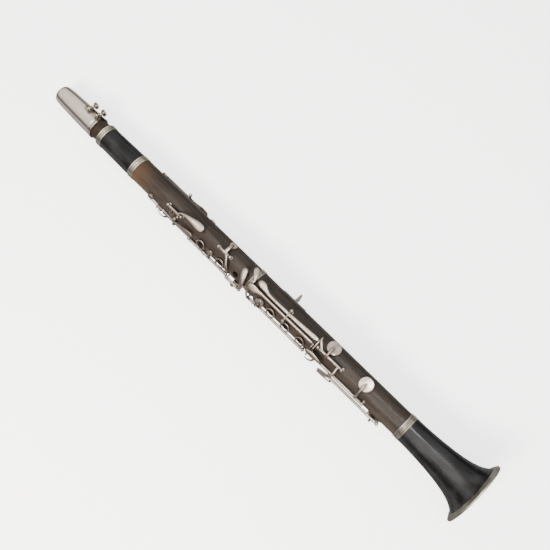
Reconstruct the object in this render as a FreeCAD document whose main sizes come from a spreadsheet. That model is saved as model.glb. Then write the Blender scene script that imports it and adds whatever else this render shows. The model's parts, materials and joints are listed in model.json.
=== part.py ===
import math
import os

import FreeCAD
import Part
import Sketcher

# A simple-system B-flat clarinet lying at rest.
# Every piece is drawn in a bench frame: X runs from the bell mouth (x = 0) to the mouthpiece,
# +Z is the player's front (tone holes) and +Y the player's right. A place on the instrument is
# (along, angle, radius): along X, degrees from the front towards the right, distance from the bore axis.
# Each sub-part's Placement then lays the instrument down with its left side up and the floor at Z = 0.

os.makedirs("parts", exist_ok=True)
doc = FreeCAD.newDocument("clarinet")
sheet = doc.addObject("Spreadsheet::Sheet", "sizes")

SIZES = {
    # stations along the bore axis
    "cap_top": 676.0, "cap_rim": 606.0, "tip_at": 671.0, "barrel_top": 594.5,
    "barrel_bottom": 527.6, "joint_middle": 334.0, "mid_ring_bottom": 327.0,
    "end_ring_top": 103.0, "bell_top": 99.2, "bell_ring_bottom": 95.1, "tenon_length": 18.0,
    # turned radii
    "bore_radius": 7.4, "tenon_radius": 10.6, "socket_radius": 11.4, "cork_radius": 11.25,
    "upper_radius": 15.5, "lower_radius": 15.4, "barrel_radius": 15.0, "shank_radius": 12.6,
    "cap_radius": 14.1, "rim_radius": 39.6, "rim_height": 4.6,
    # keywork
    "rod_radius": 1.0, "rod_bore": 1.06, "post_bore": 1.02, "tube_radius": 1.8, "post_radius": 1.25,
    "ball_radius": 2.2, "arm_radius": 1.15, "knuckle_extra": 0.07, "spring_radius": 0.3, "touch_half": 0.9,
    "pad_thickness": 1.6, "cup_thickness": 1.2, "pad_gap": 0.15, "open_gap": 1.7,
    "ring_wire": 0.8, "ring_middle_radius": 5.9, "chimney_radius": 4.4, "chimney_top": 16.3,
    "finger_hole_radius": 3.7, "seat_radius": 17.0, "seat_flat": 15.1,
    "small_cup": 4.2, "cross_cup": 4.6, "vent_cup": 4.2, "mid_cup": 6.0, "large_cup": 8.35,
    "bar_width": 3.3, "screw_radius": 1.4, "screw_head": 4.5,
}
for row, (alias, size) in enumerate(SIZES.items(), start=1):
    sheet.set(f"A{row}", alias)
    sheet.set(f"B{row}", str(size))
    sheet.setAlias(f"B{row}", alias)
doc.recompute()

LIE_TURN = -70.0      # degrees about the bore axis: the left side comes up
LIE_TILT = 2.30       # degrees: the bell rim lifts the bell end
LIE_SHIFT = FreeCAD.Vector(-337.116, 0.0, 39.98)
POST_FOOT = 14.0      # posts start this far from the bore axis, inside the wood

V = FreeCAD.Vector
X_AXIS = V(1, 0, 0)
LIE_ROTATION = FreeCAD.Rotation(V(0, 1, 0), LIE_TILT).multiply(FreeCAD.Rotation(X_AXIS, LIE_TURN))
LIE = FreeCAD.Placement(LIE_SHIFT, LIE_ROTATION)
parts = []


def value_of(words):
    """Number that a text such as 'cap_top - 2.5' means, read from the sheet."""
    total = 0.0
    sign = 1.0
    for word in str(words).split():
        if word in ("+", "-"):
            sign = 1.0 if word == "+" else -1.0
            continue
        total += sign * (SIZES[word] if word in SIZES else float(word))
    return total


def expression_of(words):
    """The same text as an expression on the sheet's cells."""
    return " ".join(f"sizes.{word}" if word in SIZES else word for word in str(words).split())


def bind(obj, **sizes):
    """Bind properties of an object to the sheet."""
    for name, words in sizes.items():
        obj.setExpression(name, expression_of(words))
    return obj


def spot(along, angle, radius):
    """Placement on the instrument: local X along it, local Z pointing away from the bore."""
    turn = FreeCAD.Rotation(X_AXIS, -angle)
    return FreeCAD.Placement(V(value_of(along), 0, 0) + turn.multVec(V(0, 0, value_of(radius))), turn)


def point(along, angle, radius):
    """Point on the instrument."""
    return spot(along, angle, radius).Base


def finish(name, obj, own=FreeCAD.Placement()):
    """Name a sub-part and lay it down with the rest."""
    obj.Label = name
    obj.Placement = LIE.multiply(own)
    parts.append(obj)
    return obj


def fuse(name, pieces):
    """One object from several, joined one after the other."""
    joined = pieces[0]
    for index, piece in enumerate(pieces[1:]):
        step = doc.addObject("Part::Fuse", f"{name}_{index}")
        step.Base = joined
        step.Tool = piece
        step.Refine = False
        joined = step
    return joined


def cut(name, base, tools):
    """Base less the tools."""
    removed = doc.addObject("Part::Cut", name)
    removed.Base = base
    removed.Tool = fuse(name + "_tools", tools)
    return removed


def turned(name, outline):
    """PartDesign body revolved about X. The outline is closed: (along, radius) texts."""
    body = doc.addObject("PartDesign::Body", name)
    plane = [item for item in body.Origin.OriginFeatures if item.Role == "XY_Plane"][0]
    sketch = body.newObject("Sketcher::SketchObject", name + "_outline")
    sketch.AttachmentSupport = [(plane, "")]
    sketch.MapMode = "FlatFace"
    corners = [V(value_of(along), value_of(radius), 0) for along, radius in outline]
    count = len(corners)
    for index, corner in enumerate(corners):
        sketch.addGeometry(Part.LineSegment(corner, corners[(index + 1) % count]))
    for index in range(count):
        sketch.addConstraint(Sketcher.Constraint("Coincident", index, 2, (index + 1) % count, 1))
    for index, (along, radius) in enumerate(outline):
        across = sketch.addConstraint(Sketcher.Constraint("DistanceX", -1, 1, index, 1, corners[index].x))
        sketch.setExpression(f"Constraints[{across}]", expression_of(along))
        up = sketch.addConstraint(Sketcher.Constraint("DistanceY", -1, 1, index, 1, corners[index].y))
        sketch.setExpression(f"Constraints[{up}]", expression_of(radius))
    revolved = body.newObject("PartDesign::Revolution", name + "_turned")
    revolved.Profile = sketch
    revolved.ReferenceAxis = (sketch, ["H_Axis"])
    revolved.Angle = 360
    body.Tip = revolved
    return body


def peg(name, along, angle, low, high, radius):
    """Cylinder pointing away from the bore, between two distances from the axis."""
    obj = doc.addObject("Part::Cylinder", name)
    bind(obj, Radius=radius)
    obj.Height = value_of(high) - value_of(low)
    obj.Placement = spot(along, angle, low)
    return obj


def rod(name, start, end, angle, distance, radius):
    """Cylinder parallel to the bore from start to end."""
    obj = doc.addObject("Part::Cylinder", name)
    bind(obj, Radius=radius)
    obj.Height = value_of(end) - value_of(start)
    obj.Placement = FreeCAD.Placement(point(start, angle, distance), FreeCAD.Rotation(V(0, 1, 0), 90))
    return obj


def cross_rod(name, along, angle, distance, half_length, radius):
    """Cylinder across the instrument, as a hinge of a see-saw key."""
    place = spot(along, angle, distance)
    turn = place.Rotation.multiply(FreeCAD.Rotation(X_AXIS, -90))
    obj = doc.addObject("Part::Cylinder", name)
    bind(obj, Radius=radius)
    obj.Height = 2 * half_length
    obj.Placement = FreeCAD.Placement(place.Base - turn.multVec(V(0, 0, half_length)), turn)
    return obj


def ball(name, along, angle, distance, radius):
    """Sphere."""
    obj = doc.addObject("Part::Sphere", name)
    bind(obj, Radius=radius)
    obj.Placement = spot(along, angle, distance)
    return obj


def strut(name, places, radius):
    """Round bar through the places, with a ball at each place but the first, which is inside a tube."""
    pieces = []
    points = [point(*place) for place in places]
    for index in range(len(points) - 1):
        run = points[index + 1] - points[index]
        obj = doc.addObject("Part::Cylinder", f"{name}_run{index}")
        bind(obj, Radius=radius)
        obj.Height = run.Length
        obj.Placement = FreeCAD.Placement(points[index], FreeCAD.Rotation(V(0, 0, 1), run))
        pieces.append(obj)
    for index, place in enumerate(places[1:]):
        pieces.append(ball(f"{name}_knuckle{index}", *place, f"{radius} + knuckle_extra"))
    return pieces


def bar(name, start, end, angle, low, width, thickness):
    """Flat bar along the instrument."""
    obj = doc.addObject("Part::Box", name)
    bind(obj, Height=thickness, Width=width)
    obj.Length = value_of(end) - value_of(start)
    place = spot(start, angle, low)
    obj.Placement = place.multiply(FreeCAD.Placement(V(0, -value_of(width) / 2, 0), FreeCAD.Rotation()))
    return obj


def spoon(name, head, tail, half_width):
    """Long rounded touch from its head to its tail, half_width at its widest and thin across."""
    start = point(*head)
    end = point(*tail)
    outward = spot(head[0], (head[1] + tail[1]) / 2, 0).Rotation.multVec(V(0, 0, 1))
    along = end - start
    side = outward.cross(along)
    turn = FreeCAD.Rotation(along, side, outward, "XZY")
    obj = doc.addObject("Part::Ellipsoid", name)
    bind(obj, Radius1="touch_half")
    obj.Radius2 = along.Length / 2
    obj.Radius3 = half_width
    obj.Placement = FreeCAD.Placement((start + end) / 2, turn)
    return obj


def ring(name, along, angle, distance):
    """Finger ring round a tone-hole chimney."""
    obj = doc.addObject("Part::Torus", name)
    bind(obj, Radius1="ring_middle_radius", Radius2="ring_wire")
    obj.Placement = spot(along, angle, distance)
    return obj


def cup_and_pad(name, along, angle, seat, gap, radius):
    """Pad cup over a seat: the pad is a sub-part of its own, the cup joins the key."""
    bottom = value_of(seat) + value_of(gap)
    top = bottom + SIZES["pad_thickness"]
    pad = peg(name + "_pad_disc", along, angle, bottom, top, f"{radius} - 0.5")
    finish(name + "_pad", pad, spot(along, angle, bottom))
    return peg(name + "_cup", along, angle, top, top + SIZES["cup_thickness"], radius)


def key(name, pieces, bores):
    """A key: its pieces joined, with the hinge bores cut through."""
    finish(name, cut(name, fuse(name + "_metal", pieces), bores))


def post(name, along, angle, distance):
    """Post: a pillar with a ball that holds a hinge rod."""
    pillar = peg(name + "_pillar", along, angle, POST_FOOT, distance, "post_radius")
    return fuse(name, [pillar, ball(name + "_ball", along, angle, distance, "ball_radius")])


# ---- head: mouthpiece, reed, ligature, cap. Drawn with the reed at the back, then turned --------
HEAD = FreeCAD.Placement(V(0, 0, 0), FreeCAD.Rotation(X_AXIS, -83))
TABLE_LEVEL = -9.0   # flat of the mouthpiece that the reed lies on
SCREW_STATIONS = {"upper": 626.0, "lower": 612.0}
LUG_ANGLES = (169.0, 191.0)
LUG_DISTANCE = 17.6


def block(name, low, lengths, turn=0.0):
    """Box from its low corner, turned about Y."""
    obj = doc.addObject("Part::Box", name)
    obj.Length, obj.Width, obj.Height = lengths
    obj.Placement = FreeCAD.Placement(V(*low), FreeCAD.Rotation(V(0, 1, 0), turn))
    return obj


tip = SIZES["tip_at"]
shank = turned("shank", [
    ("barrel_top - tenon_length", "bore_radius"), ("barrel_top - tenon_length", "tenon_radius"),
    ("barrel_top", "tenon_radius"), ("barrel_top", "shank_radius"), ("cap_rim", "shank_radius - 0.1"),
    ("cap_rim + 36", "shank_radius - 0.6"), ("tip_at - 6", "shank_radius - 2.4"),
    ("tip_at", "shank_radius - 3.5"), ("tip_at", "bore_radius")])
beak = block("beak_slope", (tip - 33, -20, 12.0), (60, 40, 30), 28)
table = block("table_flat", (tip - 62, -20, TABLE_LEVEL - 20), (80, 40, 20))
finish("mouthpiece", cut("beaked", shank, [beak, table]), HEAD)
reed_blank = block("reed_blank", (tip - 61, -5.6, -20), (61, 11.2, 20 + TABLE_LEVEL))
reed_round = rod("reed_round", "tip_at - 61.5", "tip_at", 0, 0, "shank_radius - 0.4")
reed_heel = doc.addObject("Part::Common", "reed_heel")
reed_heel.Base = reed_blank
reed_heel.Tool = reed_round
scrape = block("reed_scrape", (tip - 28, -10, -18.2), (40, 20, 6), -6.0)
finish("reed", cut("scraped", reed_heel, [scrape]), HEAD)

band = turned("band", [("cap_rim + 2", "cap_radius - 1.35"), ("cap_rim + 2", "cap_radius - 1.0"),
                       ("cap_rim + 26", "cap_radius - 1.0"), ("cap_rim + 26", "cap_radius - 1.35")])
lugs = [band]
for level, along in SCREW_STATIONS.items():
    for angle in LUG_ANGLES:
        lugs.append(peg(f"lug_{level}_{angle:.0f}", along, angle, 12.9, LUG_DISTANCE, "post_radius"))
        lugs.append(ball(f"lug_ball_{level}_{angle:.0f}", along, angle, LUG_DISTANCE, "ball_radius"))
lug_bores = [cross_rod(f"lug_bore_{level}", along, 180, LUG_DISTANCE - 0.3, 20, "screw_radius + 0.05")
             for level, along in SCREW_STATIONS.items()]
finish("ligature", cut("ligature_metal", fuse("ligature_blank", lugs), lug_bores), HEAD)
for level, along in SCREW_STATIONS.items():
    stem = cross_rod(f"stem_{level}", along, 180, LUG_DISTANCE - 0.3, 7.5, "screw_radius")
    head = cross_rod(f"head_{level}", along, 180, LUG_DISTANCE - 0.3, 1.2, "screw_head")
    head.Placement.Base = head.Placement.Base + spot(0, 180, 0).Rotation.multVec(V(0, -8.2, 0))
    finish(f"ligature_screw_{level}", fuse(f"ligature_screw_{level}_metal", [stem, head]), HEAD)

cap = turned("cap_shell", [
    ("cap_rim", "cap_radius - 0.7"), ("cap_rim", "cap_radius + 0.6"), ("cap_rim + 2", "cap_radius + 0.6"),
    ("cap_rim + 2.6", "cap_radius"), ("cap_rim + 13", "cap_radius"), ("cap_top - 16", "cap_radius - 1.4"),
    ("cap_top - 3", "cap_radius - 2.6"), ("cap_top", "cap_radius - 5"), ("cap_top", "0"),
    ("cap_top - 1", "0"), ("cap_top - 1", "cap_radius - 5.6"), ("cap_top - 3.6", "cap_radius - 3.1"),
    ("cap_top - 16", "cap_radius - 1.9"), ("cap_rim + 27.5", "cap_radius - 0.8")])
slot = block("cap_slot", (SIZES["cap_rim"] - 1, -5.7, -30), (29, 11.4, 30))
finish("mouthpiece_cap", cut("cap_slotted", cap, [slot]), HEAD)


def sleeve(name, start, end, inner, outer):
    """Plain sub-part ring: cork on a tenon, or a ferrule round the wood."""
    finish(name, turned(name + "_turned", [(start, inner), (start, outer), (end, outer), (end, inner)]))


sleeve("mouthpiece_cork", "barrel_top - 16", "barrel_top - 1.5", "tenon_radius", "cork_radius")

# ---- barrel, joints and bell ------------------------------------------------------------------------
SEAT = "barrel_radius - 1.5"
finish("barrel", turned("barrel_wood", [
    ("barrel_bottom", "socket_radius"), ("barrel_bottom", SEAT), ("barrel_bottom + 8.3", SEAT),
    ("barrel_bottom + 8.3", "barrel_radius + 0.3"), ("barrel_top - 8", "barrel_radius - 0.4"),
    ("barrel_top - 8", SEAT), ("barrel_top", SEAT), ("barrel_top", "socket_radius"),
    ("barrel_top - tenon_length - 0.5", "socket_radius"), ("barrel_top - tenon_length - 0.5", "bore_radius"),
    ("barrel_bottom + tenon_length + 0.5", "bore_radius"),
    ("barrel_bottom + tenon_length + 0.5", "socket_radius")]))
sleeve("barrel_upper_ring", "barrel_top - 7.9", "barrel_top", SEAT, "barrel_radius + 0.2")
sleeve("barrel_lower_ring", "barrel_bottom", "barrel_bottom + 8.2", SEAT, "barrel_radius + 0.9")

upper_wood = turned("upper_wood", [
    ("joint_middle - tenon_length", "bore_radius"), ("joint_middle - tenon_length", "tenon_radius"),
    ("joint_middle", "tenon_radius"), ("joint_middle", "upper_radius"),
    ("barrel_bottom", "upper_radius - 0.1"), ("barrel_bottom", "tenon_radius"),
    ("barrel_bottom + tenon_length", "tenon_radius"), ("barrel_bottom + tenon_length", "bore_radius")])
sleeve("upper_joint_top_cork", "barrel_bottom + 2", "barrel_bottom + 16", "tenon_radius", "cork_radius")
sleeve("upper_joint_bottom_cork", "joint_middle - 16", "joint_middle - 2", "tenon_radius", "cork_radius")
lower_wood = turned("lower_wood", [
    ("bell_top - tenon_length", "bore_radius"), ("bell_top - tenon_length", "tenon_radius"),
    ("bell_top", "tenon_radius"), ("bell_top", SEAT), ("end_ring_top", SEAT),
    ("end_ring_top", "lower_radius"), ("mid_ring_bottom", "lower_radius"), ("mid_ring_bottom", SEAT),
    ("joint_middle", SEAT), ("joint_middle", "socket_radius"),
    ("joint_middle - tenon_length - 0.5", "socket_radius"),
    ("joint_middle - tenon_length - 0.5", "bore_radius")])
sleeve("lower_joint_socket_ring", "mid_ring_bottom", "joint_middle", SEAT, "lower_radius + 0.8")
sleeve("lower_joint_end_ring", "bell_top", "end_ring_top", SEAT, "lower_radius + 0.9")
sleeve("lower_joint_cork", "bell_top - 16", "bell_top - 2", "tenon_radius", "cork_radius")
sleeve("bell_upper_ring", "bell_ring_bottom", "bell_top", SEAT, "lower_radius + 1.1")


def flare(places):
    """Smooth curve through (along, radius) places."""
    curve = Part.BSplineCurve()
    curve.interpolate([V(along, radius, 0) for along, radius in places])
    return curve.toShape()


ring_bottom = SIZES["bell_ring_bottom"]
bell_top = SIZES["bell_top"]
socket_floor = bell_top - SIZES["tenon_length"] - 0.5
seat_radius = value_of(SEAT)
OUTER_FLARE = [(ring_bottom, 16.1), (86, 16.2), (65, 17.2), (44, 19.2), (24, 22.8), (14, 26.3), (9, 29.1),
               (4.6, 32.9)]
INNER_FLARE = [(0, 36.4), (2, 33.0), (5, 29.4), (12, 24.0), (24, 19.0), (44, 15.2), (65, 12.6),
               (socket_floor, 10.2)]
edges = [flare(OUTER_FLARE)]
straights = [OUTER_FLARE[-1], (3.0, 35.0), (0, 37.5), INNER_FLARE[0]]
closing = [INNER_FLARE[-1], (socket_floor, SIZES["socket_radius"]), (bell_top, SIZES["socket_radius"]),
           (bell_top, seat_radius), (ring_bottom, seat_radius), OUTER_FLARE[0]]
for run in (straights, closing):
    for begin, stop in zip(run, run[1:]):
        edges.append(Part.makeLine(V(*begin, 0), V(*stop, 0)))
edges.append(flare(INNER_FLARE))
bell_profile = Part.Face(Part.Wire(Part.__sortEdges__(edges)))
bell = doc.addObject("Part::Feature", "bell_wood")
bell.Shape = bell_profile.revolve(V(0, 0, 0), X_AXIS, 360)
finish("bell", bell)
finish("bell_rim_ring", turned("rim_metal", [
    ("0", "rim_radius - 1.9"), ("0", "rim_radius"), ("1.8", "rim_radius"),
    ("rim_height", "rim_radius - 4.6"), ("rim_height", "rim_radius - 6.4"), ("3", "rim_radius - 4.4")]))

# ---- keys of the upper joint --------------------------------------------------------------------------
CLOSED = "pad_gap"
OPEN = "open_gap"
TUBE = "tube_radius"
ARM = "arm_radius"


def tube(name, start, end, angle, distance):
    """Hinge tube and the bore to cut through it."""
    return (rod(name + "_tube", start, end, angle, distance, TUBE),
            rod(name + "_bore", start - 1, end + 1, angle, distance, "rod_bore"))


def lug(name, along, angle, distance, half_length):
    """Cross barrel of a see-saw key and the bore to cut through it."""
    return (cross_rod(name + "_barrel", along, angle, distance, half_length, TUBE),
            cross_rod(name + "_bore", along, angle, distance, half_length + 1, "rod_bore"))


# register key: see-saw on the back
barrel, bore = lug("register", 463, 180, 19.6, 3.6)
cup = cup_and_pad("register", 506, 180, "seat_radius", CLOSED, "small_cup")
key("register_key", [barrel, cup, bar("register_bar", 452, 503, 180, 19.0, 3.6, 1.6),
                     spoon("register_touch", (456, 180, 19.6), (431, 180, 20.4), 4.6)], [bore])

# throat A key: see-saw along the front
barrel, bore = lug("a", 449, 6, 18.7, 2.6)
cup = cup_and_pad("a", 492, 6, "seat_flat + 0.8", CLOSED, "small_cup")
key("a_key", [barrel, cup, bar("a_bar", 447, 490, 6, 18.1, 2.4, 1.3),
              spoon("a_touch", (450, 5, 18.9), (418, -7, 19.6), 3.6)], [bore])

# throat A-flat key: axial hinge at the left
tubing, bore = tube("a_flat", 446, 463, -33, 19.8)
cup = cup_and_pad("a_flat", 457, -17, "seat_flat + 0.8", CLOSED, "small_cup")
key("a_flat_key", [tubing, cup, *strut("a_flat_arm", [(457, -33, 19.8), (457, -19, 19.2)], ARM),
                   *strut("a_flat_neck", [(449, -33, 19.8), (446, -48, 20.2)], ARM),
                   spoon("a_flat_touch", (449, -49, 20.4), (411, -53, 20.4), 4.6)], [bore])

# upper ring key: two rings and a vent cup on one tube
RING_PLANE = 17.4
RING_HINGE = 24
tubing, bore = tube("upper_ring", 364, 421, RING_HINGE, 18.8)
cup = cup_and_pad("upper_ring", 390, -3, "seat_flat + 0.3", "open_gap - 0.7", "vent_cup")
pieces = [tubing, cup, rod("upper_collar", 396, 400, RING_HINGE, 18.8, "ball_radius")]
for along in (374, 406):
    pieces.append(ring(f"upper_ring_{along}", along, 0, RING_PLANE))
    pieces += strut(f"upper_ring_arm_{along}", [(along, RING_HINGE, 18.8), (along, 20.5, RING_PLANE)],
                    "arm_radius - 0.3")
pieces += strut("upper_ring_vent_arm", [(390, RING_HINGE, 18.8), (390, 12, 20.0), (390, 2, 19.7)],
                "arm_radius - 0.2")
key("upper_ring_key", pieces, [bore])

# cross key: axial hinge at the left, touch reaching over the front
tubing, bore = tube("cross", 369.6, 383.2, -52, 20)
cup = cup_and_pad("cross", 375, -93, "seat_radius", CLOSED, "cross_cup")
key("cross_key", [tubing, cup,
                  *strut("cross_cup_arm", [(375, -52, 20), (375, -74, 21.4), (375, -91, 20.3)], ARM),
                  *strut("cross_touch_arm", [(371.5, -52, 20), (367, -36, 20.2), (363, -18, 20.2)], ARM),
                  spoon("cross_touch", (366.5, -26, 20.0), (359.5, 2, 19.4), 2.6)], [bore])

# E-flat key: hinge over the front, long touch laid across to the left, cup at the right
tubing, bore = tube("e_flat", 338.4, 354, 10, 22.4)
cup = cup_and_pad("e_flat", 347, 52, "seat_radius", CLOSED, "cross_cup")
key("e_flat_key", [tubing, cup,
                   *strut("e_flat_cup_arm", [(347, 10, 22.4), (347, 30, 22.6), (347, 50, 20.4)], ARM),
                   *strut("e_flat_neck", [(340, 10, 22.4), (337.6, -8, 22.0)], ARM),
                   spoon("e_flat_touch", (334.5, 2, 22.2), (345, -62, 22.6), 4.0)], [bore])

# side keys: two axial hinges at the right, touches side by side
# name: hinge angle, tube end, cup along and angle, touch angle and end
SIDE_KEYS = {"side_trill": (64, 470, 478, 40, 95, 366), "side_b_flat": (113, 448, 455, 86, 124, 368)}
for name, (angle, tube_end, cup_along, cup_angle, touch_angle, touch_along) in SIDE_KEYS.items():
    tubing, bore = tube(name, 402, tube_end, angle, 19.4)
    cup = cup_and_pad(name, cup_along, cup_angle, "seat_radius", CLOSED, "cross_cup")
    key(name + "_key", [tubing, cup,
                        *strut(name + "_arm", [(tube_end - 4, angle, 19.4), (tube_end - 2, angle - 13, 21.2),
                                               (cup_along, cup_angle, 20.4)], ARM),
                        *strut(name + "_neck", [(408, angle, 19.4), (407, (angle + touch_angle) / 2, 21.6),
                                                (405, touch_angle, 21.8)], ARM),
                        spoon(name + "_touch", (408, touch_angle, 22.0), (touch_along, touch_angle, 22.9), 4.2)],
        [bore])

# ---- keys of the lower joint --------------------------------------------------------------------------
# C-sharp key: short hinge at the front, touch laid across the socket ring to the left
tubing, bore = tube("c_sharp", 314.4, 322.4, 42, 19.6)
cup = cup_and_pad("c_sharp", 318, 74, "seat_radius", CLOSED, "cross_cup")
key("c_sharp_key", [tubing, cup,
                    *strut("c_sharp_cup_arm", [(318, 42, 19.6), (318, 58, 20.8), (318, 72, 20.4)], ARM),
                    *strut("c_sharp_neck", [(321, 42, 19.6), (323.5, 26, 19.8), (326.5, 12, 19.5), (327.5, -6, 19.4),
                                            (328, -32, 19.2), (327.5, -56, 19.3)], ARM),
                    spoon("c_sharp_touch", (326.5, -50, 19.8), (337, -92, 21.4), 3.6)], [bore])

# little-finger levers: see-saws along the left of the front
LEVER_HINGE = (273.0, -45.6, 20.8)
LEVER_OFFSET = 2.6    # each lever's middle from the middle of their shared hinge
# name: side, foot along and angles, neck end (along, angle, radius), touch angle and half width
LEVERS = {"f_sharp_lever": (-1, 226.4, (-76, -64, -52), (309, -55, 21.9), (-61, 3.9)),
          "e_lever": (1, 230.6, (-39, -14, 10, 33), (316, -37, 22.3), (-34, 4.4))}
for name, (side, foot_along, foot_angles, neck, touch) in LEVERS.items():
    angle = LEVER_HINGE[1] + side * math.degrees(math.atan2(LEVER_OFFSET, LEVER_HINGE[2]))
    barrel = cross_rod(name + "_barrel", *LEVER_HINGE, 1.9, TUBE)
    barrel.Placement.Base = barrel.Placement.Base + spot(*LEVER_HINGE).Rotation.multVec(
        V(0, side * LEVER_OFFSET, 0))
    bore = cross_rod(name + "_bore", *LEVER_HINGE, 8, "rod_bore")
    foot = strut(name + "_foot", [(foot_along, foot_angle, 19.4) for foot_angle in foot_angles],
                 "arm_radius - 0.15")
    key(name, [barrel, bar(name + "_bar", foot_along + 0.3, 304, angle, 20.4, "bar_width", 1.4),
               *strut(name + "_drop", [(foot_along + 1.2, angle, 20.9), (foot_along, angle, 19.4)],
                      "arm_radius - 0.15"),
               *strut(name + "_neck", [(303, angle, 21.1), neck], ARM),
               *foot,
               spoon(name + "_touch", (neck[0] - 6, neck[1], neck[2]), (neck[0] + 14, touch[0], neck[2] + 0.5),
                     touch[1])],
        [bore])

# lower ring key: three rings and a cup on one tube
tubing, bore = tube("lower_ring", 239.4, 311, RING_HINGE, 18.8)
cup = cup_and_pad("lower_ring", 308, 0, "seat_flat + 0.3", "open_gap - 0.7", "mid_cup")
pieces = [tubing, cup]
pieces += strut("lower_ring_cup_arm", [(308, RING_HINGE, 18.8), (308, 13, 20.6), (308, 2, 20.0)],
                "arm_radius - 0.2")
for along in (245, 268, 291):
    pieces.append(ring(f"lower_ring_{along}", along, 0, RING_PLANE))
    pieces += strut(f"lower_ring_arm_{along}", [(along, RING_HINGE, 18.8), (along, 20.5, RING_PLANE)],
                    "arm_radius - 0.3")
key("lower_ring_key", pieces, [bore])

# F-sharp key: tube A, cup at the far left, touch at the front
tubing, bore = tube("f_sharp", 191.4, 221.6, -42, 20)
cup = cup_and_pad("f_sharp", 211, -78, "seat_radius", CLOSED, "large_cup")
key("f_sharp_key", [tubing, cup,
                    *strut("f_sharp_cup_arm", [(211, -42, 20), (211, -58, 22.6), (211, -76, 20.3)], ARM),
                    *strut("f_sharp_tail", [(219, -42, 20), (224, -58, 21.6), (226.4, -66, 21.8)], ARM),
                    *strut("f_sharp_neck", [(193.5, -42, 20), (193.5, -25, 23.4), (196, -4, 25.0)], ARM),
                    spoon("f_sharp_touch", (190, -5, 25.2), (210, 5, 25.2), 3.8)], [bore])

# E key: tube B at the front, open-standing cup at the left
tubing, bore = tube("e", 151.4, 224, -2, 19.4)
cup = cup_and_pad("e", 159, -64, "seat_radius", OPEN, "large_cup")
key("e_key", [tubing, cup,
              *strut("e_cup_arm", [(159, -2, 19.4), (159, -28, 23.2), (159, -48, 24.0), (159, -62, 22.0)], ARM),
              *strut("e_tail", [(220, -2, 19.4), (221.5, 16, 21.4), (230.6, 33, 22.2)], ARM),
              *strut("e_neck", [(214, -2, 19.4), (216, -14, 23.2)], ARM),
              spoon("e_touch", (214, -16, 24.0), (234, -14, 24.4), 3.4)], [bore])

# F key: tube C at the front right, open-standing cup at the right
tubing, bore = tube("f", 125.4, 195, 26, 19.8)
cup = cup_and_pad("f", 131, 76, "seat_radius", OPEN, "large_cup")
key("f_key", [tubing, cup,
              *strut("f_cup_arm", [(131, 26, 19.8), (131, 48, 23.4), (131, 64, 23.6), (131, 74, 22.0)], ARM),
              *strut("f_neck", [(191, 26, 19.8), (194, 44, 22.8)], ARM),
              spoon("f_touch", (190, 45, 23.2), (212, 46, 24.0), 3.8)], [bore])

# ---- posts, hinge rods and needle springs --------------------------------------------------------------
# axial hinges: name, start, end, angle, distance; a post stands just past each end
UPPER_HINGES = {"a_flat": (446, 463, -33, 19.8), "upper_ring": (364, 421, RING_HINGE, 18.8),
                "cross": (369.6, 383.2, -52, 20), "e_flat": (338.4, 354, 10, 22.4),
                "side_trill": (402, 470, 64, 19.4), "side_b_flat": (402, 448, 113, 19.4)}
LOWER_HINGES = {"c_sharp": (314.4, 322.4, 42, 19.6), "lower_ring": (239.4, 311, RING_HINGE, 18.8),
                "f_sharp": (191.4, 221.6, -42, 20), "e": (151.4, 224, -2, 19.4), "f": (125.4, 195, 26, 19.8)}
# see-saw hinges: name, along, angle, distance, half length
UPPER_SAWS = {"register": (463, 180, 19.6, 3.6), "a": (449, 6, 18.7, 2.6)}
LOWER_SAWS = {"levers": (*LEVER_HINGE, 4.8)}
POST_STEP = 2.5       # from the end of a tube to its post
ROD_STEP = 4.4        # from the end of a tube to the end of its rod
SPRING_LEAN = 7       # degrees from the hinge to its spring
SPRING_FOOT = 1.3     # a spring's foot stands this far below the tube's end
SPRING_LEVEL = 16.6   # springs lie this far from the bore axis
SPRINGS = {"a_flat": -1, "upper_ring": 1, "cross": -1, "side_trill": 1, "side_b_flat": 1,
           "lower_ring": 1, "f_sharp": -1, "e": 1, "f": 1}


def side_offset(distance, step):
    """Angle that moves a place sideways by step at that distance."""
    return math.degrees(math.atan2(step, distance))


def mechanism(joint, hinges, saws):
    """Posts, rods and springs of one joint, each a node of separate solids."""
    posts = []
    bores = []
    rods = []
    springs = []
    for name, (start, end, angle, distance) in hinges.items():
        for tag, along in (("low", start - POST_STEP), ("high", end + POST_STEP)):
            posts.append(post(f"{name}_post_{tag}", along, angle, distance))
        bores.append(rod(f"{name}_post_bore", start - 6, end + 6, angle, distance, "post_bore"))
        rods.append(rod(f"{name}_rod", start - ROD_STEP, end + ROD_STEP, angle, distance, "rod_radius"))
        if name in SPRINGS:
            lean = angle + SPRINGS[name] * SPRING_LEAN
            springs.append(rod(f"{name}_spring", start - 1.6, start + 12, lean, SPRING_LEVEL, "spring_radius"))
            springs.append(peg(f"{name}_spring_foot", start - SPRING_FOOT, lean, POST_FOOT, SPRING_LEVEL,
                               "spring_radius"))
    for name, (along, angle, distance, half) in saws.items():
        for tag, step in (("left", -half - POST_STEP), ("right", half + POST_STEP)):
            lean = side_offset(distance, step)
            posts.append(post(f"{name}_post_{tag}", along, angle + lean, distance / math.cos(math.radians(lean))))
        bores.append(cross_rod(f"{name}_post_bore", along, angle, distance, half + 6, "post_bore"))
        rods.append(cross_rod(f"{name}_rod", along, angle, distance, half + ROD_STEP - 0.1, "rod_radius"))
    finish(f"{joint}_posts", cut(f"{joint}_posts_bored", fuse(f"{joint}_pillars", posts), bores))
    finish(f"{joint}_rods", fuse(f"{joint}_rods_all", rods))
    finish(f"{joint}_springs", fuse(f"{joint}_springs_all", springs))


mechanism("upper_joint", UPPER_HINGES, UPPER_SAWS)
mechanism("lower_joint", LOWER_HINGES, LOWER_SAWS)

# ---- tone holes, chimneys and seats in the wood ------------------------------------------------------------


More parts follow.
